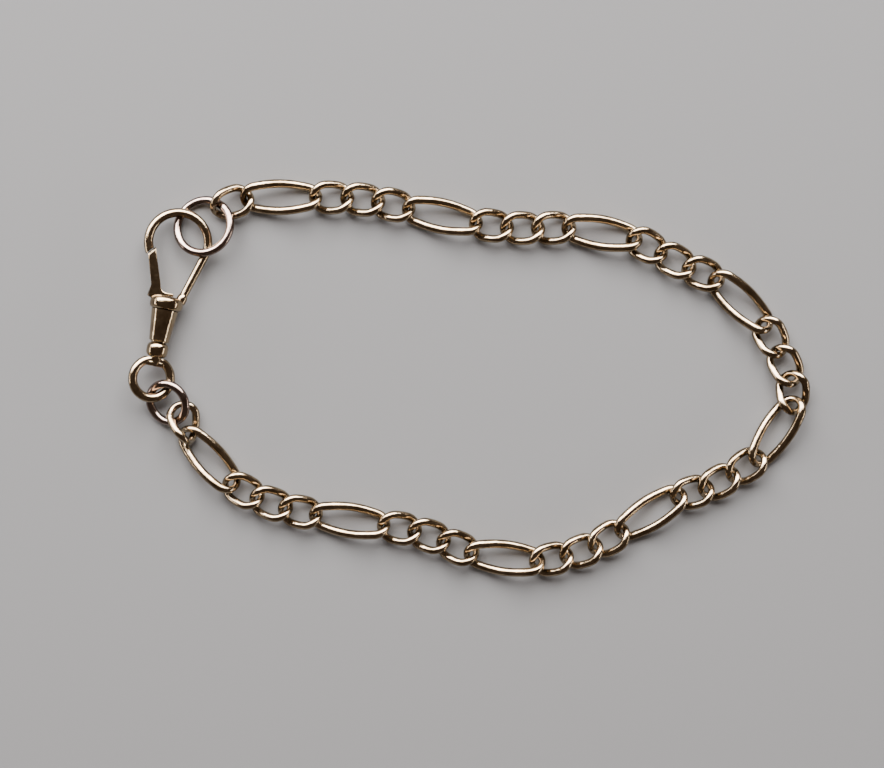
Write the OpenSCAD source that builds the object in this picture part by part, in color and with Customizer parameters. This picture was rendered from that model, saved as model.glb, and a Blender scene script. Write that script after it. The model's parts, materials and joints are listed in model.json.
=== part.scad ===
// Link bracelet of gold wire, laid flat as a closed loop. One long oval link follows every
// three short ones. Each link is turned out of its own plane at both ends, so that the
// chain lies flat. A swivel clip fastens the loop through two jump rings.
// Millimetres, +Z up. The origin is under the middle of the loop, on the surface it lies on.

/* [Link wire] */
// Thickness of the wire along the sides of a short link
wire_d = 1; // [0.85:0.05:1.1]
// Thickness of the wire along the sides of a long link
long_wire_d = 1.1; // [1:0.02:1.2]
// Thickness of the wire at the ends of a link, where it is worn
worn_d = 0.83; // [0.71:0.02:0.95]
// Play between two links in a straight stretch
link_gap = 0.07; // [0.06:0.01:0.1]
// Further play between two links for each degree that the chain bends there
bend_play = 0.02; // [0.01:0.001:0.024]
// Turn of each end of a link out of the plane of its middle, in degrees
end_turn = 45; // [42:1:48]
// Flat faces round the wire of a link
wire_sides = 6; // [5:1:8]
// Stations along the wire of a link
link_sides = 16; // [12:4:16]

/* [Links] */
// Length of a short link over its ends
short_length = 5.74; // [5.4:0.02:6]
// Width of a short link over its sides
short_width = 4.3; // [4.1:0.1:4.8]
// Length of a long link over its ends
long_length = 10.36; // [9.6:0.02:11]
// Width of a long link over its sides
long_width = 4.5; // [4.2:0.05:4.8]
// How far the sides of a long link bow out beyond its round ends
long_bow = 0.17; // [0.1:0.01:0.2]
// Number of long links
long_count = 9; // [6:1:12]
// Short links between two long ones
shorts_between = 3; // [1:1:4]

/* [Jump rings] */
// Outer diameter of the ring that the hook holds
hook_ring_d = 7.9; // [7.3:0.1:8.2]
// Wire of the ring that the hook holds
hook_ring_wire = 1.03; // [0.8:0.01:1.1]
// Outer diameter of the ring between the swivel and the last link
end_ring_d = 6.1; // [5.9:0.1:6.6]
// Wire of the ring between the swivel and the last link
end_ring_wire = 1.05; // [0.8:0.01:1.1]

/* [Swivel ring] */
// Outer diameter of the swivel ring
swivel_d = 6; // [5.8:0.1:6.4]
// Wire of the swivel ring
swivel_wire = 1.15; // [1:0.05:1.2]
// Width of the bar that closes the top of the swivel ring
swivel_bar_w = 2.4; // [2.2:0.1:2.6]
// How far that bar fills the ring's opening
swivel_bar_in = 0.3; // [0.2:0.05:0.5]
// Diameter of the stem that turns in the barrel
stem_d = 1.4; // [1.2:0.05:1.5]
// Diameter of the head that keeps the stem in the barrel
head_d = 1.84; // [1.74:0.02:1.86]
// Thickness of the stem's head
head_h = 0.7; // [0.5:0.05:0.9]
// Air between the stem, its head and the barrel
stem_gap = 0.06; // [0.04:0.01:0.1]

/* [Barrel] */
// Distance from the middle of the swivel ring to the small bead
bead_y = 2.7; // [2.65:0.05:3.2]
// Diameter of the small bead at the swivel
bead_d = 2.7; // [2.5:0.05:3.1]
// Length of the small bead
bead_h = 1.9; // [1.7:0.05:2.2]
// Radius of the small bead's edges
bead_round = 0.7; // [0.4:0.05:0.8]
// Diameter of the neck between the bead and the barrel
neck_d = 2.3; // [2.2:0.05:2.4]
// Length of the neck
neck_h = 0.12; // [0.05:0.01:0.3]
// Diameter of the barrel at its small end
barrel_small_d = 2.5; // [2.4:0.05:2.9]
// Diameter of the barrel at the collar
barrel_big_d = 3.4; // [3.2:0.05:3.6]
// Length of the barrel
barrel_h = 3.93; // [3.4:0.01:5]
// Diameter of the collar
collar_d = 4.2; // [4.1:0.05:4.6]
// Length of the collar
collar_h = 1.75; // [1.7:0.05:2.2]
// Radius of the collar's edges
collar_round = 0.5; // [0.2:0.05:0.6]

/* [Hook] */
// Wire of the hook
hook_wire = 1.08; // [0.9:0.02:1.16]
// Diameter of the hook's bow, along the middle of its wire
bow_d = 7.38; // [7.1:0.02:7.8]
// Distance from the collar to the middle of the bow
bow_rise = 6.95; // [6.6:0.05:7.6]
// Distance from the clip's axis to the foot of the hook's shank
shank_x = 1.76; // [1.74:0.02:1.9]
// Diameter of the solder round the foot of the shank
foot_d = 1.3; // [1.2:0.02:1.4]
// Height of that solder
foot_h = 0.45; // [0.1:0.05:0.6]
// Angle at which the bow ends, from its right-hand side over the top, in degrees
bow_end = 208; // [200:1:210]
// Slant of the joint between the bow's tip and the gate, in degrees
tip_slant = 50; // [30:1:56]

/* [Gate] */
// Thickness of the gate, which is cut from plate
gate_t = 1; // [0.8:0.05:1.1]
// Width of the gate at its tip
gate_tip_w = 1.1; // [0.95:0.05:1.2]
// Width of the gate above the collar
gate_base_w = 1.25; // [1.1:0.05:1.3]
// Distance from the clip's axis to the middle of the gate just above the collar
gate_base_x = 1.4; // [1.3:0.05:1.5]
// Distance from the clip's axis to the middle of the gate beside the end of the bow
gate_tip_x = 3; // [2.9:0.05:3.1]
// Distance from the clip's axis to the gate's thumb edge
thumb_x = 2.55; // [2.4:0.05:2.7]
// Height of the fillet between the gate and its spring foot
fillet_h = 0.9; // [0.5:0.05:1.2]
// Diameter of the gate's lug round its pin
lug_d = 1.24; // [1.1:0.02:1.3]
// Reach of the gate's spring foot past its pin
foot_reach = 1.55; // [1.4:0.05:1.6]
// Thickness of the spring foot
spring_t = 0.35; // [0.25:0.05:0.4]
// Air between the gate and what it meets
gate_gap = 0.08; // [0.06:0.01:0.1]
// Diameter of the gate's pin
pin_d = 0.56; // [0.46:0.02:0.6]
// Air between the pin and the gate's bore
pin_gap = 0.04; // [0.03:0.01:0.06]
// Distance from the clip's axis to the pin
pin_x = 0.9; // [0.85:0.05:1]
// Depth of the pin below the end face of the collar
pin_depth = 0.75; // [0.72:0.01:0.8]

/* [How the clip lies] */
// Pitch of the clip on the surface, bow down, in degrees
clip_dip = 2.2; // [2:0.1:2.4]
// Roll of the clip about its length, right side down, in degrees
clip_roll = 8; // [7.6:0.1:8.4]
// Turn of the swivel ring in the barrel, left side up, in degrees
swivel_roll = 14.57; // [14.3:0.01:14.9]
// Slack between the end ring and the swivel ring
ring_slack = 0.07; // [0.06:0.01:0.09]
// Slack between the hook's bow and the hook ring
hook_slack = 2.15; // [2.13:0.01:2.17]

/* [How the ends join] */
// Turn from the last link to the line to the end ring, in degrees, anticlockwise
last_turn = 75.19; // [75:0.01:75.4]
// Turn from there to the line between the end ring and the swivel ring
end_ring_turn = -57.35; // [-57.5:0.01:-57.2]
// Turn from there to the clip
clip_turn = -40.88; // [-41:0.01:-40.7]
// Turn from the clip to the line between the bow and the hook ring
bow_turn = -46.44; // [-46.6:0.01:-46.3]
// Turn from there to the line between the hook ring and the first link
hook_ring_turn = 20.96; // [20.8:0.01:21.1]
// Turn from there to the first link
first_turn = -35.74; // [-35.9:0.01:-35.6]

/* [How the hook ring lies] */
// Tilt of the hook ring, in degrees
hook_ring_tilt = 18.1; // [17.8:0.1:18.4]
// Bearing of the hook ring's raised side, anticlockwise from the clip's right, in degrees
hook_ring_bearing = -37.34; // [-37.6:0.01:-37]
// Height of the hook ring's lowest side above the surface
hook_ring_lift = 0.04; // [0.02:0.01:0.06]
// Shift of the hook ring across the clip, to its right
hook_ring_dx = -0.12; // [-0.14:0.01:-0.1]
// Shift of the hook ring along the clip, toward the bow
hook_ring_dy = -0.17; // [-0.19:0.01:-0.15]

/* [How the end ring lies] */
// Tilt of the end ring, in degrees
end_ring_tilt = 30.4; // [30.1:0.1:30.7]
// Bearing of the end ring's raised side, anticlockwise from the clip's right, in degrees
end_ring_bearing = 51.86; // [51.6:0.01:52.1]
// Height of the end ring's lowest side above the surface
end_ring_lift = 0.06; // [0.04:0.01:0.08]
// Shift of the end ring across the clip, to its right
end_ring_dx = -0.01; // [-0.03:0.01:0.01]
// Shift of the end ring along the clip, toward the bow
end_ring_dy = 0.24; // [0.22:0.01:0.26]

/* [How the first and last links lie] */
// Further dip of the first link toward its free end, in degrees
first_dip = 5.1; // [4.9:0.1:5.3]
// Roll of the first link, left side up, in degrees
first_roll = 12.4; // [12:0.1:12.8]
// Height of the first link's middle above the surface
first_z = 1.52; // [1.5:0.01:1.54]
// How far the first link is drawn back toward the hook ring
first_back = 0.29; // [0.28:0.01:0.3]
// Further dip of the last link toward the end ring, in degrees
last_dip = 4.9; // [4.6:0.1:5.2]
// Roll of the last link, left side up, in degrees
last_roll = 36.2; // [35.8:0.1:36.6]
// Height of the last link's middle above the surface
last_z = 1.82; // [1.8:0.01:1.84]
// How far the last link is drawn back toward the link before it
last_back = 0.27; // [0.26:0.01:0.28]
// Slack between the last link and the end ring
last_slack = 0.3; // [0.28:0.01:0.32]

/* [Hidden] */
// Sides of the round things, and of a wire's section
$fn = 64;
section_sides = 32;

// The chain as a list of links, 1 for a long one and 0 for a short one: a short one, then
// each long one with its short ones, and a single short one at the end
link_kinds = [0, for (g = [1:long_count]) each
    [1, for (k = [1:(g < long_count ? shorts_between : 1)]) 0]];
link_count = len(link_kinds);
function two_digits(n) = n < 10 ? str("0", n) : str(n);
link_names = [for (i = [0:link_count - 1])
    str(link_kinds[i] == 1 ? "long_link_" : "short_link_", two_digits(i + 1))];

// Chosen points on the middle line of the loop as it lies, from the joint after the first
// link, round the chain, the end ring, the swivel ring, the hook's bow and the hook ring
route_points = [
    [-27.64, 22.89], [-23.5, 22.9], [-12.8, 22.6], [-3.3, 20.4], [5.6, 19], [17.8, 18.8],
    [26.6, 14.5], [34.5, 10.6], [39.6, 2.3], [40.8, -0.9], [39.7, -7], [28.9, -14.2], [24.5, -14.9],
    [16.3, -20.8], [4.7, -23], [-6.1, -19.1], [-14.6, -17.7], [-25.3, -15.4], [-34.3, -9.3],
    [-36.1, -3], [-38.1, -2.9], [-39.6, 0.3], [-36.3, 17.3], [-33, 19.4], [-30.4, 22.4]];

// A smooth closed curve through those points, cut into short steps
route_steps = 16;
function wrap(list, i) = list[(i + len(list)) % len(list)];
function span_length(i) = norm(wrap(route_points, i + 1) - wrap(route_points, i));
function heading(i) = (wrap(route_points, i + 1) - wrap(route_points, i - 1))
    / (span_length(i) + span_length(i - 1));
function between(i, t) = let (
        p = wrap(route_points, i), q = wrap(route_points, i + 1), h = span_length(i))
    p * (1 + 2 * t) * pow(1 - t, 2) + q * (3 - 2 * t) * pow(t, 2)
    + heading(i) * h * t * pow(1 - t, 2) - heading(i + 1) * h * (1 - t) * pow(t, 2);
path = [for (i = [0:len(route_points) - 1]) for (k = [0:route_steps - 1])
    between(i, k / route_steps)];
path_count = len(path);
path_steps = [for (i = [0:path_count - 1]) norm(wrap(path, i + 1) - path[i])];
path_length = path_steps * [for (s = path_steps) 1];

// The place at step u of the curve
function at(u) = let (i = floor(u), t = u - i)
    wrap(path, i % path_count) * (1 - t) + wrap(path, (i + 1) % path_count) * t;

// The step at which the curve is a chord's length away from its place at step u
halving_count = 24;
function past(u, from, chord) = norm(at(u) - from) < chord ? past(u + 1, from, chord) : u;
function halve(low, high, from, chord, n) = let (mid = (low + high) / 2)
    n <= 0 ? mid
    : norm(at(mid) - from) < chord ? halve(mid, high, from, chord, n - 1)
    : halve(low, mid, from, chord, n - 1);
function reach(u, chord) = let (end = past(u, at(u), chord))
    halve(max(end - 1, u), end, at(u), chord, halving_count);

// Sizes along the clip, from the middle of the swivel ring to the middle of the bow
bead_end = bead_y + bead_h;
barrel_y = bead_end + neck_h;
collar_y = barrel_y + barrel_h;
collar_end = collar_y + collar_h;
bow_y = collar_end + bow_rise;

// The straight distance from joint to joint along a link. The play is given for each joint
// of the chain
function link_length(kind) = kind == 1 ? long_length : short_length;
function link_width(kind) = kind == 1 ? long_width : short_width;
function link_bow(kind) = kind == 1 ? long_bow : 0;
function link_wire(kind) = kind == 1 ? long_wire_d : wire_d;
function link_chord(i, play) = link_length(link_kinds[i]) - 2 * worn_d - (play[i] + play[i + 1]) / 2;

// The ends of the chain and what joins them keep their places to one another: last link, end
// ring, swivel ring, bow, hook ring and first link, each turned from the one before
function end_chords(play) = [
    link_chord(link_count - 1, play),
    end_ring_d / 2 - end_ring_wire - play[link_count] / 2 - last_slack,
    (end_ring_d + swivel_d) / 2 - end_ring_wire - swivel_wire - ring_slack,
    bow_y * cos(clip_dip),
    (bow_d - hook_wire + hook_ring_d) / 2 - hook_ring_wire - hook_slack,
    hook_ring_d / 2 - hook_ring_wire - play[0] / 2,
    link_chord(0, play)];
end_turns = [0, last_turn, end_ring_turn, clip_turn, bow_turn, hook_ring_turn, first_turn];
function end_places(chords) = [for (i = 0, place = [0, 0], way = 0; i <= len(chords);
    way = way + (i < len(chords) ? end_turns[i] : 0),
    place = place + (i < len(chords) ? chords[i] : 0) * [cos(way), sin(way)], i = i + 1) place];

// The links between the ends are stepped off round the curve, which grows or shrinks until
// the straight way back to its start is as long as the ends are
closing_count = 6;
function walk(lengths, scale) = [for (i = 0, u = 0; i <= len(lengths);
    u = i < len(lengths) ? reach(u, lengths[i] / scale) : u, i = i + 1) u];
function closed(lengths, span, scale, n) = n <= 0 ? scale
    : let (back = norm(at(walk(lengths, scale)[len(lengths)]) - at(0)) * scale)
    closed(lengths, span, scale * (1 + (span - back) / path_length), n - 1);
function angle_of(d) = atan2(d.y, d.x);
function spun(p, angle) = [p.x * cos(angle) - p.y * sin(angle), p.x * sin(angle) + p.y * cos(angle)];

// All stops: hook ring, joints of the chain, end ring, swivel ring and the middle of the bow
function laid(play) = let (
        ends = end_places(end_chords(play)), span = ends[len(ends) - 1],
        lengths = [for (i = [1:link_count - 2]) link_chord(i, play)],
        scale = closed(lengths, norm(span), 1, closing_count),
        chain = [for (u = walk(lengths, scale)) at(u) * scale],
        start = chain[link_count - 2], turn = angle_of(chain[0] - start) - angle_of(span),
        placed = [for (p = ends) start + spun(p, turn)])
    [placed[5], placed[6], each chain, for (i = [1:4]) placed[i]];
function bends(stops) = [for (i = [0:link_count]) i == 0 || i == link_count ? 0
    : (angle_of(stops[i + 2] - stops[i + 1]) - angle_of(stops[i + 1] - stops[i]) + 540) % 360 - 180];

// The loop is laid with the same play at every joint, and again with more where it bends
even_play = [for (i = [0:link_count]) link_gap];
play = [for (b = bends(laid(even_play))) link_gap + bend_play * abs(b)];
stops = laid(play);
joint_bends = bends(stops);
swivel_at = stops[link_count + 3];
bow_at = stops[link_count + 4];
clip_angle = angle_of(bow_at - swivel_at) - 90;
hook_ring_at = stops[0] + spun([hook_ring_dx, hook_ring_dy], clip_angle);
end_ring_at = stops[link_count + 2] + spun([end_ring_dx, end_ring_dy], clip_angle);

// A link's wire runs round an oval with round ends, and with sides that may bow out. Its
// place at station t, seen flat, with the link's length along x
oval_turns = link_sides / 2 - 2;
function half_oval(t, a, b, bow) = t <= oval_turns
    ? let (angle = 180 * t / oval_turns - 90) [a - b + b * cos(angle), b * sin(angle)]
    : let (side = 1 + oval_turns - t) [(a - b) * side, b + bow * (1 - side * side)];
function oval(t, a, b, bow) = t < 0 ? oval(t + link_sides, a, b, bow)
    : t >= link_sides ? oval(t - link_sides, a, b, bow)
    : t < link_sides / 2 ? half_oval(t, a, b, bow) : -half_oval(t - link_sides / 2, a, b, bow);

// The same place once the oval is turned about its length, more toward its ends
function turned(p, a) = let (angle = -end_turn * p.x / a) [p.x, p.y * cos(angle), p.y * sin(angle)];
function wire_place(t, a, b, bow) = turned(oval(t, a, b, bow), a);

// Distance of the wire's corners from its middle: less at the worn ends. Along the sides
// flat-sided wire is wider over its corners, so that it has as much metal as round wire
fullness = sqrt(2 * PI / wire_sides / sin(360 / wire_sides));
station_step = 0.05;
outward_step = 0.1;
function wire_radius(p, a, b, wire) = let (wear = pow(max(0, (abs(p.x) - a + b) / b), 2))
    (wire * fullness * (1 - wear) + worn_d * wear) / 2;
function unit(v) = v / norm(v);
function wire_corners(t, a, b, bow, wire) = let (
        flat = oval(t, a, b, bow), middle = turned(flat, a),
        ahead = unit(wire_place(t + station_step, a, b, bow) - wire_place(t - station_step, a, b, bow)),
        round_end = [max(-a + b, min(a - b, flat.x)), 0],
        outward = turned(flat + unit(flat - round_end) * outward_step, a) - middle,
        up = unit(cross(ahead, outward)), side = cross(up, ahead),
        r = wire_radius(flat, a, b, wire))
    [for (k = [0:wire_sides - 1]) let (angle = 360 * (k + 0.5) / wire_sides)
        middle + r * (cos(angle) * side + sin(angle) * up)];
function link_corners(kind) = let (
        wire = link_wire(kind), bow = link_bow(kind),
        a = (link_length(kind) - worn_d) / 2, b = (link_width(kind) - wire) / 2 - bow)
    [for (t = [0:link_sides - 1]) each wire_corners(t, a, b, bow, wire)];
link_faces = [for (t = [0:link_sides - 1]) for (k = [0:wire_sides - 1]) let (
        t2 = (t + 1) % link_sides, k2 = (k + 1) % wire_sides,
        p = t * wire_sides + k, q = t * wire_sides + k2,
        r = t2 * wire_sides + k, s = t2 * wire_sides + k2) each [[p, r, q], [q, r, s]]];
link_shapes = [link_corners(0), link_corners(1)];

// Where the loop bends, the wires of two links cross slantwise, so the near end of the link
// after the bend lies higher than the end it holds
rises = [for (b = joint_bends) (worn_d + link_gap) * sin(-b / 2)];

// How each link leans: roll, dip toward its forward end, and lift. The first and the last
// one lean further, each on its jump ring, and have heights of their own
function chain_lean(i) = let (length = link_length(link_kinds[i]) - worn_d)
    [0, asin((rises[i] + rises[i + 1]) / 2 / length), (rises[i] - rises[i + 1]) / 4];
function link_lean(i) = chain_lean(i) + (i == 0 ? [first_roll, first_dip, 0]
    : i == link_count - 1 ? [last_roll, last_dip, 0] : [0, 0, 0]);
function leant(p, lean) = let (
        y = p.y * cos(lean[0]) - p.z * sin(lean[0]), z = p.y * sin(lean[0]) + p.z * cos(lean[0]))
    [p.x * cos(lean[1]) + z * sin(lean[1]), y, z * cos(lean[1]) - p.x * sin(lean[1]) + lean[2]];
leant_links = [for (i = [0:link_count - 1]) let (lean = link_lean(i))
    [for (p = link_shapes[link_kinds[i]]) leant(p, lean)]];
chain_z = -min([for (i = [1:link_count - 2]) for (p = leant_links[i]) p.z]);
function link_z(i) = i == 0 ? first_z : i == link_count - 1 ? last_z : chain_z;
function placed_link(i) = let (
        line = stops[i + 2] - stops[i + 1], angle = angle_of(line),
        back = i == 0 ? first_back : i == link_count - 1 ? last_back : 0,
        mid = (stops[i + 1] + stops[i + 2]) / 2 + unit(line) * ((play[i + 1] - play[i]) / 4 - back))
    [for (p = leant_links[i]) [
        mid.x + p.x * cos(angle) - p.y * sin(angle),
        mid.y + p.x * sin(angle) + p.y * cos(angle), p.z + link_z(i)]];
placed_links = [for (i = [0:link_count - 1]) placed_link(i)];

// The clip's own frame: the origin is the middle of the swivel ring, and +Y runs along the
// clip to the middle of the bow
collar_r = collar_d / 2;
swivel_z = (collar_r - collar_round) * cos(clip_dip)
    + (collar_end - collar_round) * sin(clip_dip) + collar_round;
swivel_r = (swivel_d - swivel_wire) / 2;

// The loop's middle, from the links and the outer edge of the swivel ring, becomes the origin
swivel_half = swivel_r * norm([cos(swivel_roll) * cos(clip_angle), sin(clip_angle)]) + swivel_wire / 2;
edge_points = [for (link = placed_links) each link, [swivel_at.x - swivel_half, swivel_at.y, 0]];
middle = [for (axis = [0:1]) let (values = [for (p = edge_points) p[axis]])
    (min(values) + max(values)) / 2];

// The hook's shank runs from its foot in the collar and meets the bow along its tangent
foot_at = [shank_x, collar_end];
bow_centre = [0, bow_y];
bow_r = bow_d / 2;
foot_to_bow = bow_centre - foot_at;
shank_angle = atan2(foot_to_bow.y, foot_to_bow.x) - asin(bow_r / norm(foot_to_bow));
shank_length = sqrt(pow(norm(foot_to_bow), 2) - pow(bow_r, 2));
shank_sink = 0.8;
bow_start = shank_angle - 90;
bow_overlap = 4;
weld_step = 0.04;

// The bow's end, and how far the bow runs past it before the slanted joint cuts it, in degrees
tip_at = bow_centre + bow_r * [cos(bow_end), sin(bow_end)];
tip_spare = 15;
joint_reach = 2 * hook_wire;

// The gate turns about its pin in a slot in the collar
pin_y = collar_end - pin_depth;
slot_t = gate_t + 2 * gate_gap;
slot_floor = pin_y - lug_d / 2 - gate_gap;
spring_y = collar_end + gate_gap;
slot_reach = norm([foot_reach, spring_y + spring_t - pin_y]) + gate_gap;
gate_step = 0.2;
gate_base_y = collar_end + gate_step;
thumb_drop = 0.3;
thumb_y = collar_end - thumb_drop;
function gate_edge(side, y) = let (t = (y - gate_base_y) / (tip_at.y - gate_base_y)) [
    -gate_base_x * (1 - t) - gate_tip_x * t + side * (gate_base_w * (1 - t) + gate_tip_w * t) / 2, y];

// The rounded end of the bead runs up to the neck. The stem's head turns in a cavity behind it
neck_turn = acos(1 - (bead_d - neck_d) / 2 / bead_round);
head_sink = 0.35;
head_y = barrel_y + head_sink;
cavity_d = head_d + 2 * stem_gap;
cavity_spare = 0.6;
cavity_end = head_y + head_h + cavity_spare;

// Points of a rounded edge: centre, radius and two angles
arc_steps = 6;
function arc(c, r, from, to) = [for (k = [0:arc_steps]) let (angle = from + (to - from) * k / arc_steps)
    c + r * [cos(angle), sin(angle)]];

module link(i) {
    color(link_kinds[i] == 1 ? "goldenrod" : "gold") translate([-middle.x, -middle.y, 0])
        polyhedron(points = placed_links[i], faces = link_faces);
}

module wire_ring(d, wire) {
    rotate_extrude() translate([(d - wire) / 2, 0]) circle(d = wire, $fn = section_sides);
}

// A jump ring with one side raised toward a bearing
module leaning_ring(at, lift, d, wire, tilt, bearing) {
    translate([at.x - middle.x, at.y - middle.y, (d - wire) / 2 * sin(tilt) + wire / 2 + lift])
        rotate([0, -tilt, clip_angle + bearing]) wire_ring(d, wire);
}

module hook_ring() {
    color("goldenrod")
        leaning_ring(hook_ring_at, hook_ring_lift, hook_ring_d, hook_ring_wire,
            hook_ring_tilt, hook_ring_bearing);
}

module end_ring() {
    color("goldenrod")
        leaning_ring(end_ring_at, end_ring_lift, end_ring_d, end_ring_wire,
            end_ring_tilt, end_ring_bearing);
}

module in_clip_frame() {
    translate([swivel_at.x - middle.x, swivel_at.y - middle.y, swivel_z])
        rotate([-clip_dip, 0, clip_angle]) rotate([0, clip_roll, 0]) children();
}

// Turned about the clip's axis: the outline has its radius in x and its place along the clip in y
module turned_along_clip() {
    rotate([-90, 0, 0]) rotate_extrude() children();
}

module swivel_ring() {
    bar_y = swivel_d / 2 - swivel_wire - swivel_bar_in;
    bar_h = 0.6;
    boss_foot_d = 1.1;
    boss_step = 0.15;
    color("goldenrod") in_clip_frame() {
        difference() {
            rotate([0, swivel_roll, 0]) {
                wire_ring(swivel_d, swivel_wire);
                translate([-swivel_bar_w / 2, bar_y, -swivel_wire / 2])
                    cube([swivel_bar_w, bar_h, swivel_wire]);
            }
            translate([-swivel_d, bead_y - stem_gap, -swivel_d]) cube(2 * swivel_d);
        }
        turned_along_clip() polygon([
            [0, bar_y + bar_h / 2], [boss_foot_d / 2, bar_y + bar_h / 2],
            [stem_d / 2 + boss_step, bead_y - stem_gap], [stem_d / 2, bead_y - stem_gap],
            [stem_d / 2, head_y], [head_d / 2, head_y],
            [head_d / 2, head_y + head_h], [0, head_y + head_h]]);
    }
}

module hook_bow() {
    translate([bow_centre.x, bow_centre.y, 0]) rotate([0, 0, bow_start - bow_overlap])
        rotate_extrude(angle = bow_end + tip_spare - bow_start + bow_overlap)
            translate([bow_r, 0]) circle(d = hook_wire, $fn = section_sides);
}

// A block with one face on the slanted joint between the bow's tip and the gate: above it,
// or turned round below it
module joint_block(turn, offset) {
    translate([tip_at.x, tip_at.y, 0]) rotate([0, 0, tip_slant + turn])
        translate([-joint_reach, offset, -joint_reach]) cube(2 * joint_reach);
}

module hook() {
    difference() {
        hook_bow();
        joint_block(180, 0);
    }
    translate([foot_at.x, foot_at.y, 0]) rotate([-90, 0, shank_angle - 90]) {
        translate([0, 0, -shank_sink]) cylinder(d = hook_wire + weld_step, h = shank_length + shank_sink);
        translate([0, 0, -shank_sink]) cylinder(d = foot_d, h = shank_sink + foot_h);
    }
}

module clip_body() {
    bore_r = stem_d / 2 + stem_gap;
    pin_h = 2 * sqrt(pow(collar_r, 2) - pow(pin_x + pin_d, 2));
    collar_arc = 60;
    color("goldenrod") in_clip_frame() {
        difference() {
            turned_along_clip() polygon([
                [0, bead_y],
                each arc([bead_d / 2 - bead_round, bead_y + bead_round], bead_round, -90, 0),
                each arc([bead_d / 2 - bead_round, bead_end - bead_round], bead_round, 0, neck_turn),
                [neck_d / 2, barrel_y],
                [barrel_small_d / 2, barrel_y], [barrel_big_d / 2, collar_y],
                each arc([collar_r - collar_round, collar_y + collar_round], collar_round, -collar_arc, 0),
                each arc([collar_r - collar_round, collar_end - collar_round], collar_round, 0, 90),
                [0, collar_end]]);
            turned_along_clip() polygon([
                [0, 0], [bore_r, 0], [bore_r, head_y - stem_gap],
                [cavity_d / 2, head_y - stem_gap], [cavity_d / 2, cavity_end], [0, cavity_end]]);
            translate([-collar_d, slot_floor, -slot_t / 2])
                cube([collar_d - pin_x + slot_reach, collar_d, slot_t]);
        }
        hook();
        translate([-pin_x, pin_y, 0]) cylinder(d = pin_d, h = pin_h, center = true);
    }
}

module clip_gate() {
    color("goldenrod") in_clip_frame() {
        difference() {
            linear_extrude(gate_t, center = true) {
                polygon([
                    [-pin_x + lug_d / 2, pin_y], [-pin_x + lug_d / 2, spring_y + spring_t],
                    gate_edge(1, spring_y + spring_t + fillet_h), gate_edge(1, tip_at.y + hook_wire),
                    gate_edge(-1, tip_at.y + hook_wire), gate_edge(-1, gate_base_y + fillet_h),
                    [-thumb_x, thumb_y], [-pin_x - lug_d / 2, pin_y]]);
                translate([-pin_x, pin_y]) circle(d = lug_d);
                translate([-gate_base_x, spring_y])
                    square([foot_reach + gate_base_x - pin_x, spring_t]);
            }
            translate([-pin_x, pin_y, 0])
                cylinder(d = pin_d + 2 * pin_gap, h = 2 * gate_t, center = true);
            joint_block(0, -gate_gap);
        }
    }
}

for (i = [0:link_count - 1]) link(i);
hook_ring();
end_ring();
swivel_ring();
clip_body();
clip_gate();
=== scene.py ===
import json
import math
import bmesh
import bpy
import numpy as np
from mathutils import Matrix, Vector


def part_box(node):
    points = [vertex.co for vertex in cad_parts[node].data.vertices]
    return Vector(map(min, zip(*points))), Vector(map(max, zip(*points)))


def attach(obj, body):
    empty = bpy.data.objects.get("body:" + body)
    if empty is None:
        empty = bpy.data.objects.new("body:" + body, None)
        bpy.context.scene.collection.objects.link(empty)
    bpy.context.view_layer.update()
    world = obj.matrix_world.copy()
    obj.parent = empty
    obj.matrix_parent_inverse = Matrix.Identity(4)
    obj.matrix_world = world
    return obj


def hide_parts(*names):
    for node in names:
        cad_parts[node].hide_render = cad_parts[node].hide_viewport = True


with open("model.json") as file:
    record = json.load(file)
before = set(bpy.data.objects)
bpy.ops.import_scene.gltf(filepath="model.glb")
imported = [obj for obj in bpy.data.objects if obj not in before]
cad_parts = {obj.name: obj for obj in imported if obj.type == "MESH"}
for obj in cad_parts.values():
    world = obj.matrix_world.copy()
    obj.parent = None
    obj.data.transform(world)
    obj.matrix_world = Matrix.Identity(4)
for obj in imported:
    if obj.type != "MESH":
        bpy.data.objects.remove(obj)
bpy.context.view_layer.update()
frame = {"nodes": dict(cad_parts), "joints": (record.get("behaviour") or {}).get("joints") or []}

mm = 0.001
upAxis = Vector((0, 0, 1))
print("frame loaded:", len(frame["nodes"]), "nodes")


# Old polished gold. The patterns read Object coordinates, turned to millimetres.
# Dents, scratches and nicks are bump heights in millimetres.

goldLinks = {
    "bright": (0.30, 0.232, 0.15), "deep": (0.15, 0.105, 0.058), "rough": (0.09, 0.22),
    "dents": 0.035, "scratches": 0.004, "nicks": 0.012,
}
goldRings = {
    "bright": (0.242, 0.186, 0.16), "deep": (0.14, 0.097, 0.08), "rough": (0.09, 0.20),
    "dents": 0.022, "scratches": 0.003, "nicks": 0.006,
}
goldClip = {
    "bright": (0.30, 0.232, 0.148), "deep": (0.17, 0.118, 0.067), "rough": (0.07, 0.18),
    "dents": 0.028, "scratches": 0.005, "nicks": 0.012,
}
goldGrain = {  # how fine each pattern is, and the span of its noise that is used
    "patches": 0.55, "patchSpan": (0.32, 0.58),
    "rubs": 2.4, "rubSpan": (0.35, 0.7),
    "dents": 1.3,
    "streaks": (14, 3, 9), "streakTurn": (0.4, 0.7, 0.9),
    "nicks": 1.1, "nickSpan": (0.02, 0.14),
}


def addNode(tree, kind, place, **sockets):
    node = tree.nodes.new(kind)
    node.location = place
    for name, value in sockets.items():
        node.inputs[name.replace("_", " ")].default_value = value
    return node


def spanNode(tree, place, span, out):  # stretches a span of the input to the span that goes out
    return addNode(tree, "ShaderNodeMapRange", place,
                   From_Min=span[0], From_Max=span[1], To_Min=out[0], To_Max=out[1])


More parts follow.
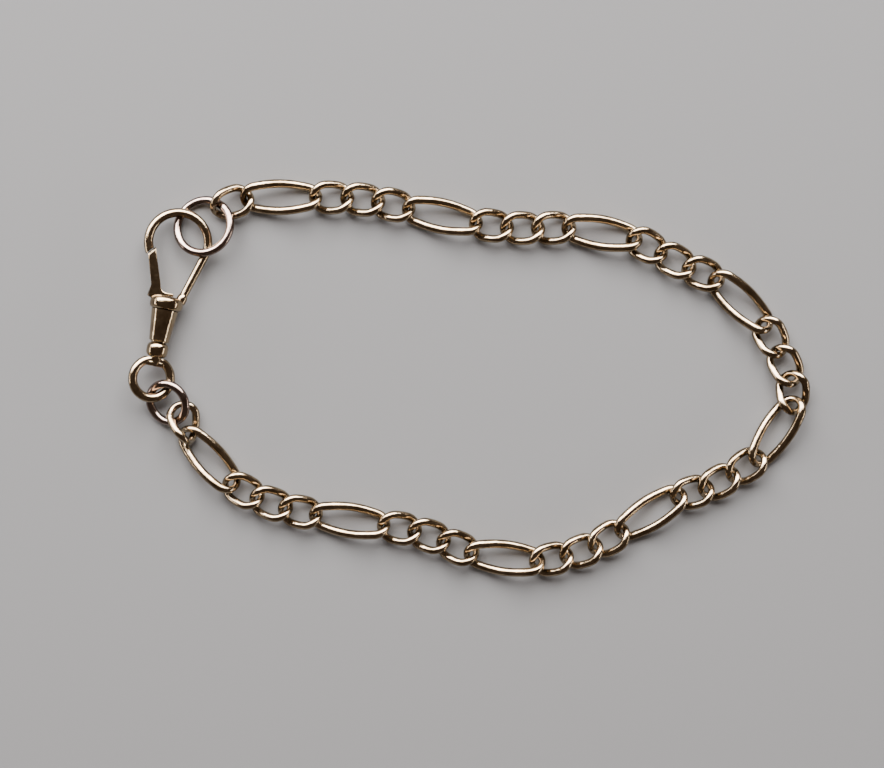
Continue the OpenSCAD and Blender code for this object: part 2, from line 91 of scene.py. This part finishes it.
def bumpNode(tree, place, height, depth, below=None):
    bump = addNode(tree, "ShaderNodeBump", place, Strength=1.0, Distance=depth * mm)
    tree.links.new(height, bump.inputs["Height"])
    if below:
        tree.links.new(below.outputs["Normal"], bump.inputs["Normal"])
    return bump


def goldMaterial(name, gold):
    material = bpy.data.materials.new(name)
    material.use_nodes = True
    tree = material.node_tree
    link = tree.links.new
    shader = tree.nodes["Principled BSDF"]
    shader.inputs["Metallic"].default_value = 1.0
    coords = addNode(tree, "ShaderNodeTexCoord", (-1500, 0))
    inMm = addNode(tree, "ShaderNodeMapping", (-1320, 0), Scale=(1000, 1000, 1000))
    link(coords.outputs["Object"], inMm.inputs["Vector"])

    # colour: slow patches of deeper gold, as on metal that has been worn for years
    patches = addNode(tree, "ShaderNodeTexNoise", (-1080, 260),
                      Scale=goldGrain["patches"], Detail=4.0, Roughness=0.6)
    link(inMm.outputs["Vector"], patches.inputs["Vector"])
    tint = addNode(tree, "ShaderNodeValToRGB", (-820, 260))
    for stop, position, shade in zip(tint.color_ramp.elements, goldGrain["patchSpan"], ("deep", "bright")):
        stop.position = position
        stop.color = (*gold[shade], 1)
    link(patches.outputs["Fac"], tint.inputs["Fac"])
    link(tint.outputs["Color"], shader.inputs["Base Color"])

    # gloss: smeared and rubbed places
    rubs = addNode(tree, "ShaderNodeTexNoise", (-1080, -20),
                   Scale=goldGrain["rubs"], Detail=5.0, Roughness=0.65)
    link(inMm.outputs["Vector"], rubs.inputs["Vector"])
    gloss = spanNode(tree, (-820, -20), goldGrain["rubSpan"], gold["rough"])
    link(rubs.outputs["Fac"], gloss.inputs["Value"])
    link(gloss.outputs["Result"], shader.inputs["Roughness"])

    # surface: soft dents, then fine scratches that run in streaks, then nicks
    dents = addNode(tree, "ShaderNodeTexNoise", (-1080, -300),
                    Scale=goldGrain["dents"], Detail=2.0, Roughness=0.5)
    link(inMm.outputs["Vector"], dents.inputs["Vector"])
    dentBump = bumpNode(tree, (-560, -300), dents.outputs["Fac"], gold["dents"])
    streaks = addNode(tree, "ShaderNodeMapping", (-1080, -560),
                      Scale=goldGrain["streaks"], Rotation=goldGrain["streakTurn"])
    link(inMm.outputs["Vector"], streaks.inputs["Vector"])
    scratches = addNode(tree, "ShaderNodeTexNoise", (-820, -560), Scale=1.0, Detail=3.0, Roughness=0.7)
    link(streaks.outputs["Vector"], scratches.inputs["Vector"])
    scratchBump = bumpNode(tree, (-360, -420), scratches.outputs["Fac"], gold["scratches"], dentBump)
    spots = addNode(tree, "ShaderNodeTexVoronoi", (-820, -820), Scale=goldGrain["nicks"], Randomness=1.0)
    link(inMm.outputs["Vector"], spots.inputs["Vector"])
    nickShape = spanNode(tree, (-580, -820), goldGrain["nickSpan"], (0.0, 1.0))
    link(spots.outputs["Distance"], nickShape.inputs["Value"])
    nickBump = bumpNode(tree, (-180, -560), nickShape.outputs["Result"], gold["nicks"], scratchBump)
    link(nickBump.outputs["Normal"], shader.inputs["Normal"])
    return material


linkGold = goldMaterial("linkGold", goldLinks)
ringGold = goldMaterial("ringGold", goldRings)
clipGold = goldMaterial("clipGold", goldClip)
print("gold finishes made")


# Shared steps for all pieces

shaping = {
    "smoothAngle": 38, "flatEnough": 0.999,  # degrees, and the cosine past which a face counts as flat
    "weld": 1e-5, "cadWeld": 1e-7, "near": 1e-3,
}


def meshFrom(name, bm):
    mesh = bpy.data.meshes.new(name)
    bm.to_mesh(mesh)
    bm.free()
    return mesh


def shown(name, data):
    thing = bpy.data.objects.new(name, data)
    bpy.context.scene.collection.objects.link(thing)
    return thing


def finishPiece(name, bm, place, material, body, node, flatAlong=None):
    bmesh.ops.recalc_face_normals(bm, faces=bm.faces)
    bmesh.ops.transform(bm, matrix=place, verts=bm.verts)
    mesh = meshFrom(name, bm)
    mesh.shade_smooth()
    mesh.set_sharp_from_angle(angle=math.radians(shaping["smoothAngle"]))
    if flatAlong:
        for face in mesh.polygons:
            face.use_smooth = abs(face.normal.dot(flatAlong)) < shaping["flatEnough"]
    mesh.materials.append(material)
    piece = shown(name, mesh)
    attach(piece, body)
    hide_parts(node)
    return piece


def roundEdges(bm, edges, width, segments, clamp=False):
    return bmesh.ops.bevel(bm, geom=edges, offset=width, segments=segments, affect="EDGES",
                           profile=0.5, material=-1, clamp_overlap=clamp)["faces"]


def block(bm, size, middle, turn):
    place = turn @ Matrix.Translation(middle) @ Matrix.Diagonal((*size, 1))
    bmesh.ops.create_cube(bm, size=1.0, matrix=place)


def station(centre, side, up, ahead, scale):  # a place with its own axes, as one matrix
    turn = Matrix((side, up, ahead)).transposed()
    return Matrix.Translation(centre) @ turn.to_4x4() @ Matrix.Diagonal((scale, scale, scale, 1))


def newVerts(grown):
    return [g for g in grown if isinstance(g, bmesh.types.BMVert)]


def sweptWire(stations, sides, closed):  # each station's scale is the wire's radius there
    bm = bmesh.new()
    verts = bmesh.ops.create_circle(bm, segments=sides, radius=1.0, matrix=stations[0])["verts"]
    startEdges = list(bm.edges)
    edges = startEdges
    for before, after in zip(stations, stations[1:]):
        grown = bmesh.ops.extrude_edge_only(bm, edges=edges)["geom"]
        verts = newVerts(grown)
        ring = set(verts)
        edges = [g for g in grown if isinstance(g, bmesh.types.BMEdge) and ring.issuperset(g.verts)]
        bmesh.ops.transform(bm, matrix=after @ before.inverted(), verts=verts)
    if closed:
        bmesh.ops.bridge_loops(bm, edges=startEdges + edges)
    return bm, verts


def nodeSpread(name):  # middle and main directions of a CAD node's corners, longest first
    bm = bmesh.new()
    bm.from_mesh(frame["nodes"][name].data)
    bmesh.ops.remove_doubles(bm, verts=bm.verts, dist=shaping["cadWeld"])
    points = np.array([v.co for v in bm.verts])
    bm.free()
    middle = points.mean(0)
    axes = np.linalg.eigh(np.cov((points - middle).T))[1]
    longest, second = Vector(axes[:, 2]), Vector(axes[:, 1])
    third = longest.cross(second)
    if third.z < 0:
        second, third = -second, -third
    return Vector(middle), longest, second, third


# Chain links: each is an oval of wire, turned out of its plane at both ends

linkShape = {
    "short": (5.74, 4.30, 0, 1.0),  # length and width over all, bow of the sides, wire
    "long": (10.36, 4.50, 0.17, 1.1),
    "worn": 0.83, "endTurn": 45,
    "sides": 20, "roundSteps": 26, "straightStep": 0.45,
}


def linkOutline(a, b, bow):  # half length and half width of the wire's middle line
    steps = linkShape["roundSteps"]
    straights = max(2, round(2 * (a - b) / linkShape["straightStep"]))
    outline = []
    for way in (1, -1):
        for k in range(steps + 1):
            angle = math.pi * (k / steps - 0.5)
            outline.append((way * (a - b + b * math.cos(angle)), way * b * math.sin(angle)))
        for k in range(1, straights):
            share = 1 - 2 * k / straights
            outline.append((way * (a - b) * share, way * (b + bow * (1 - share ** 2))))
    return outline


def linkStations(length, width, bow, wire):
    worn = linkShape["worn"]
    a, b = (length - worn) / 2, (width - wire) / 2 - bow
    outwardStep = 0.1

    def turned(x, y):
        angle = -math.radians(linkShape["endTurn"]) * x / a
        return Vector((x, y * math.cos(angle), y * math.sin(angle)))

    stations = []
    outline = linkOutline(a, b, bow)
    for k, (x, y) in enumerate(outline):
        centre = turned(x, y)
        ahead = (turned(*outline[(k + 1) % len(outline)]) - turned(*outline[k - 1])).normalized()
        hub = max(b - a, min(a - b, x))
        away = Vector((x - hub, y)).normalized() * outwardStep
        outward = turned(x + away.x, y + away.y) - centre
        up = ahead.cross(outward).normalized()
        wear = max(0, (abs(x) - a + b) / b) ** 2
        radius = (wire * (1 - wear) + worn * wear) / 2
        stations.append(station(centre, up.cross(ahead), up, ahead, radius))
    return stations


linkNodes = sorted(n for n in frame["nodes"] if "_link_" in n)
for node in linkNodes:
    shape = linkShape["long" if node.startswith("long") else "short"]
    place = station(*nodeSpread(node), mm)
    bm = sweptWire(linkStations(*shape), linkShape["sides"], closed=True)[0]
    finishPiece(node.replace("_link_", "Link"), bm, place, linkGold, "chain", node)
print("links made:", len(linkNodes))


# Jump rings

jumpRings = {  # node, outer diameter and wire
    "hookRing": ("hook_ring", 7.9, 1.03),
    "endRing": ("end_ring", 6.1, 1.05),
}
ringSteps = {"round": 96, "wire": 24}


def wireRing(outer, wire):
    bm = bmesh.new()
    across = Matrix.Translation(((outer - wire) / 2, 0, 0)) @ Matrix.Rotation(math.pi / 2, 4, "X")
    section = bmesh.ops.create_circle(bm, segments=ringSteps["wire"], radius=wire / 2, matrix=across)
    bmesh.ops.spin(bm, geom=section["verts"] + list(bm.edges), cent=(0, 0, 0), axis=(0, 0, 1),
                   angle=2 * math.pi, steps=ringSteps["round"], use_merge=True)
    return bm


for name, (node, outer, wire) in jumpRings.items():
    low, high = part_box(node)
    place = station((low + high) / 2, *nodeSpread(node)[1:], mm)
    finishPiece(name, wireRing(outer, wire), place, ringGold, "chain", node)
print("jump rings made")


# The clip's own frame: origin in the middle of the swivel ring, Y toward the hook's bow

clip = {
    "beadStart": 2.7, "beadD": 2.7, "beadH": 1.9, "beadRound": 0.7,
    "grooveD": 2.1, "grooveH": 0.12,
    "barrelSmallD": 2.5, "barrelBigD": 3.4, "barrelH": 3.93, "barrelRound": 0.1,
    "collarD": 4.2, "collarH": 1.75, "collarRound": 0.52, "collarBulge": 0.2, "collarSteps": 24,
    "slotT": 1.16, "slotReach": 1.14, "slotDepth": 1.45, "slotSpare": 1.0,
    "stemD": 1.4, "headSink": 0.35, "steps": 96, "roundSteps": 6,
}
barrelStart = clip["beadStart"] + clip["beadH"] + clip["grooveH"]
collarStart = barrelStart + clip["barrelH"]
collarEnd = collarStart + clip["collarH"]
joints = {j["name"]: j for j in frame["joints"]}
clipY = Vector(joints["swivel_turn"]["axis"]).normalized()
clipZ = Vector(joints["gate_hinge"]["axis"]).normalized()
clipX = clipY.cross(clipZ)
clipMiddle = Vector(joints["swivel_turn"]["pos_m"]) - clipY * (barrelStart + clip["headSink"]) * mm
clipPlace = station(clipMiddle, clipX, clipY, clipZ, mm)


def turnedPiece(profile, steps):  # rows of radius, place along Y, and rounding
    bm = bmesh.new()
    verts = [bm.verts.new((r, y, 0)) for r, y, rounding in profile]
    edges = [bm.edges.new(pair) for pair in zip(verts, verts[1:])]
    bmesh.ops.spin(bm, geom=verts + edges, cent=(0, 0, 0), axis=(0, 1, 0),
                   angle=2 * math.pi, steps=steps, use_merge=True)
    bmesh.ops.remove_doubles(bm, verts=bm.verts, dist=shaping["weld"])

    def lies(v, r, y):
        return math.hypot(v.co.y - y, math.hypot(v.co.x, v.co.z) - r) < shaping["near"]

    for r, y, rounding in profile:
        if rounding:
            ring = [e for e in bm.edges if all(lies(v, r, y) for v in e.verts)]
            roundEdges(bm, ring, rounding, clip["roundSteps"])
    return bm


collarRows = []
collarHalf = clip["collarH"] / 2
for k in range(clip["collarSteps"] + 1):  # steps crowd toward both rounded ends
    across = -math.cos(math.pi * k / clip["collarSteps"])
    past = max(0, abs(across) * collarHalf - collarHalf + clip["collarRound"])
    drop = clip["collarRound"] - math.sqrt(max(0, clip["collarRound"] ** 2 - past ** 2))
    collarRows.append((clip["collarD"] / 2 - clip["collarBulge"] * across ** 2 - drop,
                       collarStart + collarHalf * (1 + across), 0))
barrelProfile = [
    (0, clip["beadStart"], 0),
    (clip["beadD"] / 2, clip["beadStart"], clip["beadRound"]),
    (clip["beadD"] / 2, clip["beadStart"] + clip["beadH"], clip["beadRound"]),
    (clip["grooveD"] / 2, clip["beadStart"] + clip["beadH"], 0),
    (clip["grooveD"] / 2, barrelStart, 0),
    (clip["barrelSmallD"] / 2, barrelStart, clip["barrelRound"]),
    (clip["barrelBigD"] / 2, collarStart, 0),
    *collarRows,
    (0, collarEnd, 0),
]
bm = turnedPiece(barrelProfile, clip["steps"])
barrel = finishPiece("clipBarrel", bm, clipPlace, clipGold, "chain", "clip_body")

# the gate's slot in the collar: open to the left, and above the collar's end
bm = bmesh.new()
slotSize = (clip["slotReach"] + clip["collarD"], clip["slotDepth"] + clip["slotSpare"], clip["slotT"])
slotMiddle = ((clip["slotReach"] - clip["collarD"]) / 2,
              collarEnd + (clip["slotSpare"] - clip["slotDepth"]) / 2, 0)
block(bm, slotSize, slotMiddle, clipPlace)
slotCutter = shown("slotCutter", meshFrom("slotCutter", bm))
cut = barrel.modifiers.new("slot", "BOOLEAN")
cut.object = slotCutter
cut.operation = "DIFFERENCE"
cut.solver = "EXACT"
bpy.context.view_layer.update()
cutMesh = bpy.data.meshes.new_from_object(barrel.evaluated_get(bpy.context.evaluated_depsgraph_get()))
barrel.modifiers.clear()
barrel.data = cutMesh
bpy.data.objects.remove(slotCutter)
print("barrel turned, slot cut")


# Hook: shank and bow of one wire, thicker toward its tip, with solder round its foot

hook = {
    "shankX": 1.76, "bowD": 7.38, "bowRise": 6.95, "bowEnd": 208, "tipSlant": 50,
    "sink": 0.8, "wireAtFoot": 1.0, "wireAtTop": 1.08, "wireAtTip": 1.2,
    "shankSteps": 14, "bowSteps": 64, "sides": 24,
    "solderD": 1.3, "solderSink": 0.5, "solderShoulder": 0.2475, "solderTop": 0.585,
    "solderRound": 0.2, "solderSteps": 32,
}
bowCentre = Vector((0, collarEnd + hook["bowRise"], 0))
bowR = hook["bowD"] / 2
foot = Vector((hook["shankX"], collarEnd, 0))
toBow = bowCentre - foot
shankAngle = math.atan2(toBow.y, toBow.x) - math.asin(bowR / toBow.length)
shankLength = math.sqrt(toBow.length ** 2 - bowR ** 2)
bowStart = shankAngle - math.pi / 2
bowEnd = math.radians(hook["bowEnd"])


def bearing(angle):
    return Vector((math.cos(angle), math.sin(angle), 0))


def hookStations():
    stations = []
    shankAhead = bearing(shankAngle)
    for k in range(hook["shankSteps"]):
        along = -hook["sink"] + (shankLength + hook["sink"]) * k / hook["shankSteps"]
        share = max(0, along / shankLength)
        wire = hook["wireAtFoot"] * (1 - share) + hook["wireAtTop"] * share
        side = shankAhead.cross(upAxis)
        stations.append(station(foot + shankAhead * along, side, upAxis, side.cross(upAxis), wire / 2))
    for k in range(hook["bowSteps"] + 1):
        share = k / hook["bowSteps"]
        side = bearing(bowStart + (bowEnd - bowStart) * share)
        wire = hook["wireAtTop"] + (hook["wireAtTip"] - hook["wireAtTop"]) * share ** 1.5
        stations.append(station(bowCentre + side * bowR, side, upAxis, side.cross(upAxis), wire / 2))
    return stations


bm, tipVerts = sweptWire(hookStations(), hook["sides"], closed=False)
tipMiddle = bowCentre + bearing(bowEnd) * bowR
tipAhead = bearing(bowEnd + math.pi / 2)
tipNormal = bearing(math.radians(hook["tipSlant"]) + math.pi / 2)
for v in tipVerts:  # the tip is cut on the slant
    v.co += tipAhead * ((tipMiddle - v.co).dot(tipNormal) / tipAhead.dot(tipNormal))
bmesh.ops.holes_fill(bm, edges=[e for e in bm.edges if e.is_boundary], sides=0)
finishPiece("hookWire", bm, clipPlace, clipGold, "chain", "clip_body")

solderProfile = [
    (0, -hook["solderSink"], 0),
    (hook["solderD"] / 2, -hook["solderSink"], 0),
    (hook["solderD"] / 2, hook["solderShoulder"], hook["solderRound"]),
    (hook["wireAtFoot"] / 2, hook["solderTop"], 0),
    (0, hook["solderTop"], 0),
]
bm = turnedPiece(solderProfile, hook["solderSteps"])
solderPlace = clipPlace @ Matrix.Translation(foot) @ Matrix.Rotation(shankAngle - math.pi / 2, 4, "Z")
finishPiece("hookSolder", bm, solderPlace, clipGold, "chain", "clip_body")
print("hook bent")


# Gate: cut from plate, with rounded edges, a thumb edge and its spring's foot

gate = {
    "thickness": 1.0, "gap": 0.08,
    "pinX": 0.9, "pinDepth": 0.75, "lugD": 1.24, "lugSteps": 6,
    "springT": 0.35, "footReach": 1.55,
    "baseX": 1.4, "tipX": 3.0, "baseW": 1.25, "tipW": 1.1, "baseStep": 0.2,
    "rightFoot": 1.33, "leftFoot": 1.1,
    "filletX": -0.246, "filletR": 0.91, "filletSpan": (268, 196.5), "filletSteps": 5,
    "thumb": (-2.55, -0.3),
    "edge": 0.18, "edgeSteps": 3, "tipFacet": 0.3, "thumbFacet": 0.36, "facetSteps": 2,
}


def gateSide(side, y):  # the lever's left or right edge at height y above the collar
    t = (y - gate["baseStep"]) / (tipMiddle.y - collarEnd - gate["baseStep"])
    middle = -gate["baseX"] * (1 - t) - gate["tipX"] * t
    return middle + side * (gate["baseW"] * (1 - t) + gate["tipW"] * t) / 2, y


def gateTip(side):  # where that edge meets the slanted joint
    start = Vector((*gateSide(side, 0), 0))
    ahead = Vector((*gateSide(side, 1), 0)) - start
    toTip = tipMiddle - Vector((0, collarEnd, 0)) - start
    return gateSide(side, (toTip.dot(tipNormal) - gate["gap"]) / ahead.dot(tipNormal))


def arcPoints(x, y, radius, span, steps):  # span: the first and last angle in degrees
    angles = [math.radians(span[0] + (span[1] - span[0]) * k / steps) for k in range(steps + 1)]
    return [(x + radius * math.cos(angle), y + radius * math.sin(angle)) for angle in angles]


lugR = gate["lugD"] / 2
springTop = gate["gap"] + gate["springT"]
footEnd = gate["footReach"] - gate["pinX"]
tipRight, tipLeft = gateTip(1), gateTip(-1)
thumbTop = gateSide(-1, gate["leftFoot"])
gateOutline = [
    (-gate["pinX"] + lugR, gate["gap"]), (footEnd, gate["gap"]), (footEnd, springTop),
    *arcPoints(gate["filletX"], springTop + gate["filletR"], gate["filletR"],
               gate["filletSpan"], gate["filletSteps"]),
    gateSide(1, gate["rightFoot"]), tipRight, tipLeft, thumbTop, gate["thumb"],
    *arcPoints(-gate["pinX"], -gate["pinDepth"], lugR, (180, 360), gate["lugSteps"]),
]
halfPlate = gate["thickness"] / 2
bm = bmesh.new()
plate = bm.faces.new([bm.verts.new((x, collarEnd + y, -halfPlate)) for x, y in gateOutline])
grown = bmesh.ops.extrude_face_region(bm, geom=[plate])["geom"]
bmesh.ops.translate(bm, vec=(0, 0, gate["thickness"]), verts=newVerts(grown))
bmesh.ops.recalc_face_normals(bm, faces=bm.faces)


def joins(edge, first, second):  # a flat edge of the plate between two outline points
    level = abs(edge.verts[0].co.z - edge.verts[1].co.z) < shaping["weld"]
    ends = [Vector((v.co.x, v.co.y - collarEnd)) for v in edge.verts]
    return level and all(
        min((end - Vector(first)).length, (end - Vector(second)).length) < shaping["weld"] for end in ends)


def isRim(edge):  # a sharp edge at the top or bottom of the plate, clear of the wide facets
    level = all(abs(abs(v.co.z) - halfPlate) < shaping["weld"] for v in edge.verts)
    return (level and len(edge.link_faces) == 2 and not facets.intersection(edge.link_faces)
            and edge.calc_face_angle(0) > 1)


facets = set()
wideEdges = [((tipRight, tipLeft), gate["tipFacet"]), ((thumbTop, gate["thumb"]), gate["thumbFacet"])]
for ends, width in wideEdges:
    facets.update(roundEdges(bm, [e for e in bm.edges if joins(e, *ends)], width, gate["facetSteps"]))
roundEdges(bm, [e for e in bm.edges if isRim(e)], gate["edge"], gate["edgeSteps"], clamp=True)
bmesh.ops.triangulate(bm, faces=[f for f in bm.faces if len(f.verts) > 4])
finishPiece("gateLever", bm, clipPlace, clipGold, "gate", "clip_gate", flatAlong=clipZ)
print("gate cut")


# Swivel ring: a wire ring closed at the top by a bar, with its boss and stem

swivel = {
    "outer": 6.0, "wire": 1.15, "roll": 14.57,
    "barIn": 0.3, "barW": 2.3, "barH": 0.62, "barT": 1.1, "barEdge": 0.16, "barEdgeSteps": 4,
    "bossSink": 0.05, "bossFootD": 1.1, "bossD": 1.7, "stemGap": 0.06, "stemH": 1.0, "stemSteps": 48,
}
ringTop = clip["beadStart"] - swivel["stemGap"]
barY = swivel["outer"] / 2 - swivel["wire"] - swivel["barIn"]
bossY = barY + swivel["bossSink"]
stemEnd = ringTop + swivel["stemH"]
ringTurn = Matrix.Rotation(math.radians(swivel["roll"]), 4, "Y")


def joined(bm, other):
    mesh = meshFrom("joined", other)
    bm.from_mesh(mesh)
    bpy.data.meshes.remove(mesh)


bm = wireRing(swivel["outer"], swivel["wire"])
bmesh.ops.transform(bm, matrix=ringTurn, verts=bm.verts)
bmesh.ops.bisect_plane(bm, geom=bm.verts[:] + bm.edges[:] + bm.faces[:],
                       plane_co=(0, ringTop, 0), plane_no=(0, 1, 0), clear_outer=True)
bmesh.ops.holes_fill(bm, edges=[e for e in bm.edges if e.is_boundary], sides=0)
bar = bmesh.new()
barSize = (swivel["barW"], swivel["barH"], swivel["barT"])
block(bar, barSize, (0, barY + swivel["barH"] / 2, 0), ringTurn)
roundEdges(bar, bar.edges[:], swivel["barEdge"], swivel["barEdgeSteps"])
joined(bm, bar)
stemProfile = [
    (0, bossY, 0),
    (swivel["bossFootD"] / 2, bossY, 0),
    (swivel["bossD"] / 2, ringTop, 0),
    (clip["stemD"] / 2, ringTop, 0),
    (clip["stemD"] / 2, stemEnd, 0),
    (0, stemEnd, 0),
]
joined(bm, turnedPiece(stemProfile, swivel["stemSteps"]))
finishPiece("swivelRing", bm, clipPlace, clipGold, "swivel", "swivel_ring")
print("swivel ring made")


# Floor, light and camera

floorLook = {"colour": (0.24, 0.243, 0.246), "rough": 0.95, "size": 0.9}
bm = bmesh.new()
bmesh.ops.create_grid(bm, x_segments=1, y_segments=1, size=floorLook["size"] / 2)
floor = shown("floor", meshFrom("floor", bm))
floorPaint = bpy.data.materials.new("paleFloor")
floorPaint.use_nodes = True
paint = floorPaint.node_tree.nodes["Principled BSDF"]
paint.inputs["Base Color"].default_value = (*floorLook["colour"], 1)
paint.inputs["Roughness"].default_value = floorLook["rough"]
paint.inputs["Specular IOR Level"].default_value = 0.0
floor.data.materials.append(floorPaint)

lamps = {  # place, size across and up, watts, colour; every lamp faces the middle of the floor
    "northLight": ((-0.05, 0.34, 0.34), (0.65, 0.42), 10.4, (1.0, 0.96, 0.95)),
    "northShine": ((-0.05, 0.37, 0.29), (1.15, 0.32), 36.0, (1.0, 0.96, 0.95)),
    "eastLight": ((0.55, -0.15, 0.14), (0.40, 0.05), 1.0, (1.0, 0.95, 0.93)),
    "westLight": ((-0.55, 0.05, 0.12), (0.40, 0.06), 1.2, (1.0, 0.95, 0.93)),
}
for name, (place, size, watts, colour) in lamps.items():
    lamp = bpy.data.lights.new(name, "AREA")
    lamp.shape = "RECTANGLE"
    lamp.size, lamp.size_y = size
    lamp.energy = watts
    lamp.color = colour
    holder = shown(name, lamp)
    holder.location = place
    holder.visible_diffuse = name != "northShine"  # this one is only mirrored by the gold
    holder.rotation_euler = (-Vector(place)).to_track_quat("-Z", "Y").to_euler()

room = {"colour": (0.20, 0.15, 0.12), "strength": 0.62}
world = bpy.data.worlds.new("room")
bpy.context.scene.world = world
world.use_nodes = True
background = world.node_tree.nodes["Background"]
background.inputs["Color"].default_value = (*room["colour"], 1)
background.inputs["Strength"].default_value = room["strength"]

view = {
    "height": 0.300, "over": (-0.003470, -0.000700), "seenWidth": 0.1105, "atHeight": 0.0013,
    "sensor": 36, "nearest": 0.01,
}
lens = bpy.data.cameras.new("camera")
lens.sensor_width = view["sensor"]
lens.lens = view["sensor"] * (view["height"] - view["atHeight"]) / view["seenWidth"]
lens.clip_start = view["nearest"]
eye = shown("camera", lens)
eye.location = (*view["over"], view["height"])
bpy.context.scene.camera = eye
print("floor, light and camera set")
